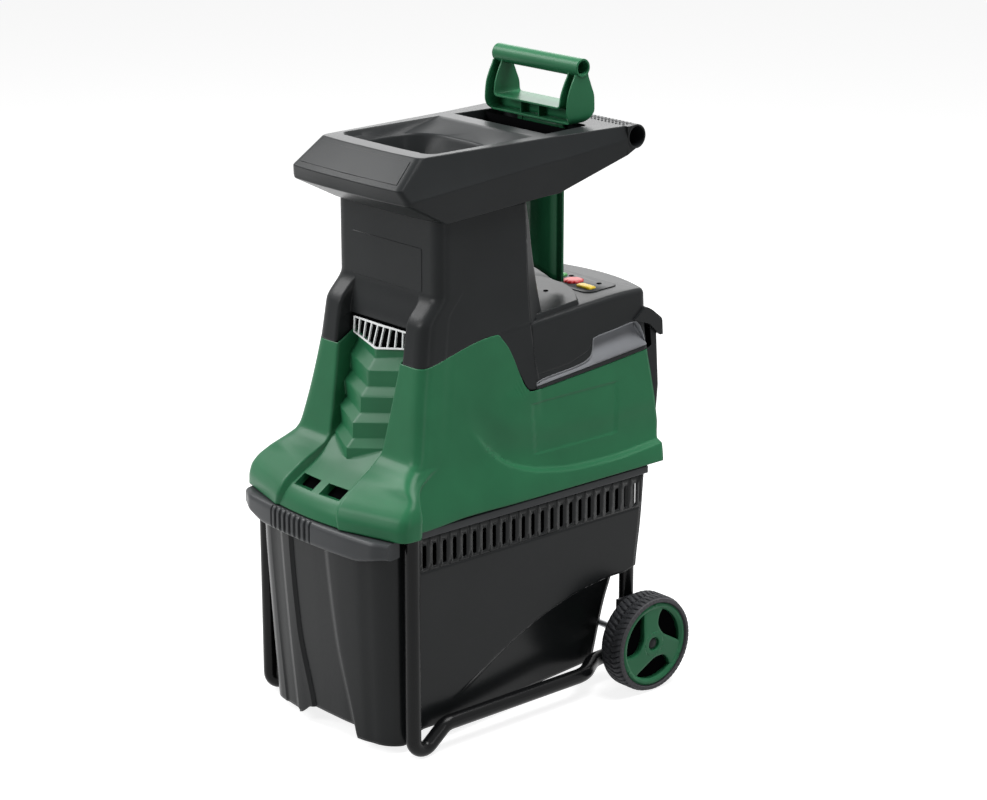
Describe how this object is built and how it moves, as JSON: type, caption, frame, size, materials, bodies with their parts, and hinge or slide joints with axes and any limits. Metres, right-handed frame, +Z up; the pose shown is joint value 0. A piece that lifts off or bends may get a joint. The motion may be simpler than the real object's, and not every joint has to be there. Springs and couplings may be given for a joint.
{
  "type": "garden shredder",
  "caption": "Wheeled garden shredder with a feed tray and chute over a geared cutting drum, a plunger and a slide-out collection box on a tubular frame.",
  "frame": {"origin": "on the floor under the middle of the machine", "axes": "+Z up, -Y to the front where the box comes out, +X to the side of the pictured wheel"},
  "size_m": [0.468, 0.6489, 1.021],
  "materials": {
    "green_plastic": "fine grained moulded plastic",
    "black_plastic": "fine grained moulded plastic",
    "grey_plastic": "satin moulded plastic",
    "white_plastic": "satin moulded plastic",
    "button_green": "satin moulded plastic",
    "button_red": "satin moulded plastic",
    "button_yellow": "satin moulded plastic",
    "frame_paint": "satin black powder coat",
    "tyre": "moulded rubber",
    "steel": "machined steel",
    "cast_alloy": "as cast",
    "lamination": "stacked sheet",
    "copper": "varnished wire"
  },
  "bodies": {
    "machine": {"frame_left": "frame_paint", "frame_right": "frame_paint", "axle_bracket_left": "frame_paint", "axle_bracket_right": "frame_paint", "wheel_axle": "steel", "deck": "black_plastic", "box_runner_left": "grey_plastic", "box_runner_right": "grey_plastic", "green_cover": "green_plastic", "vent_grille": "white_plastic", "chute_tower": "black_plastic", "hopper_tray": "black_plastic", "motor_cover": "black_plastic", "side_grip_left": "grey_plastic", "side_grip_right": "grey_plastic", "rear_panel": "black_plastic", "rear_lip": "black_plastic", "mains_inlet": "black_plastic", "switch_panel": "black_plastic", "switch_block": "grey_plastic", "cutter_housing": "cast_alloy", "front_bearing": "steel", "rear_bearing": "steel", "adjuster_nut": "steel", "gearbox_front": "cast_alloy", "gearbox_housing": "cast_alloy", "motor_front_shield": "cast_alloy", "motor_rear_shield": "cast_alloy", "stator": "lamination", "stator_winding": "copper", "rotor_bearing_front": "steel", "rotor_bearing_rear": "steel", "capacitor": "white_plastic", "interlock_switch": "grey_plastic", "frame_bolts": "steel", "panel_screws": "steel"},
    "wheel_left": {"tyre_left": "tyre", "wheel_hub_left": "green_plastic", "hub_cap_left": "black_plastic"},
    "wheel_right": {"tyre_right": "tyre", "wheel_hub_right": "green_plastic", "hub_cap_right": "black_plastic"},
    "box": {"collection_box": "black_plastic"},
    "plunger": {"plunger_handle": "green_plastic", "plunger_blade": "green_plastic"},
    "drum": {"cutter_drum": "steel", "cutter_shaft": "steel", "drum_gear": "steel"},
    "lay": {"layshaft": "steel", "lay_gear": "steel"},
    "rotor": {"rotor": "steel", "motor_fan": "black_plastic"},
    "plate": {"counter_plate": "steel"},
    "knob": {"adjuster_knob": "black_plastic"},
    "start": {"start_button": "button_green"},
    "stop": {"stop_button": "button_red"},
    "reverse": {"reverse_button": "button_yellow"}
  },
  "joints": [
    {"name": "wheel_left_spin", "type": "hinge", "parent": "machine", "child": "wheel_left", "pos_m": [0, 0.20517, 0.08], "axis": [1, 0, 0], "continuous": true},
    {"name": "wheel_right_spin", "type": "hinge", "parent": "machine", "child": "wheel_right", "pos_m": [0, 0.20517, 0.08], "axis": [1, 0, 0], "continuous": true},
    {"name": "box_slide", "type": "slide", "parent": "machine", "child": "box", "axis": [0, -1, 0], "range_m": [0, 0.56]},
    {"name": "plunger_lift", "type": "slide", "parent": "machine", "child": "plunger", "axis": [0, 0, 1], "range_m": [0, 0.28]},
    {"name": "drum_spin", "type": "hinge", "parent": "machine", "child": "drum", "pos_m": [0, -0.0955, 0.48], "axis": [0, 1, 0], "continuous": true},
    {"name": "lay_spin", "type": "hinge", "parent": "machine", "child": "lay", "pos_m": [0.05477, -0.0085, 0.55283], "axis": [0, 1, 0], "continuous": true},
    {"name": "rotor_spin", "type": "hinge", "parent": "machine", "child": "rotor", "pos_m": [0, 0.0815, 0.54], "axis": [0, 1, 0], "continuous": true},
    {"name": "knob_turn", "type": "hinge", "parent": "machine", "child": "knob", "pos_m": [-0.16, -0.0955, 0.48], "axis": [1, 0, 0], "range_deg": [0, 720]},
    {"name": "plate_slide", "type": "slide", "parent": "machine", "child": "plate", "axis": [1, 0, 0], "range_m": [0, 0.004]},
    {"name": "start_press", "type": "slide", "parent": "machine", "child": "start", "axis": [0, 0, -1], "range_m": [0, 0.003], "stiffness_N_per_m": 300, "springref_m": -0.002},
    {"name": "stop_press", "type": "slide", "parent": "machine", "child": "stop", "axis": [0, 0, -1], "range_m": [0, 0.003], "stiffness_N_per_m": 300, "springref_m": -0.002},
    {"name": "reverse_press", "type": "slide", "parent": "machine", "child": "reverse", "axis": [0, 0, -1], "range_m": [0, 0.003], "stiffness_N_per_m": 300, "springref_m": -0.002}
  ],
  "couplings": [
    {"joint": "lay_spin", "follows": "drum_spin", "ratio": -3.5},
    {"joint": "rotor_spin", "follows": "drum_spin", "ratio": 14},
    {"joint": "knob_turn", "follows": "plate_slide", "rad_per_m": 3141.6}
  ]
}
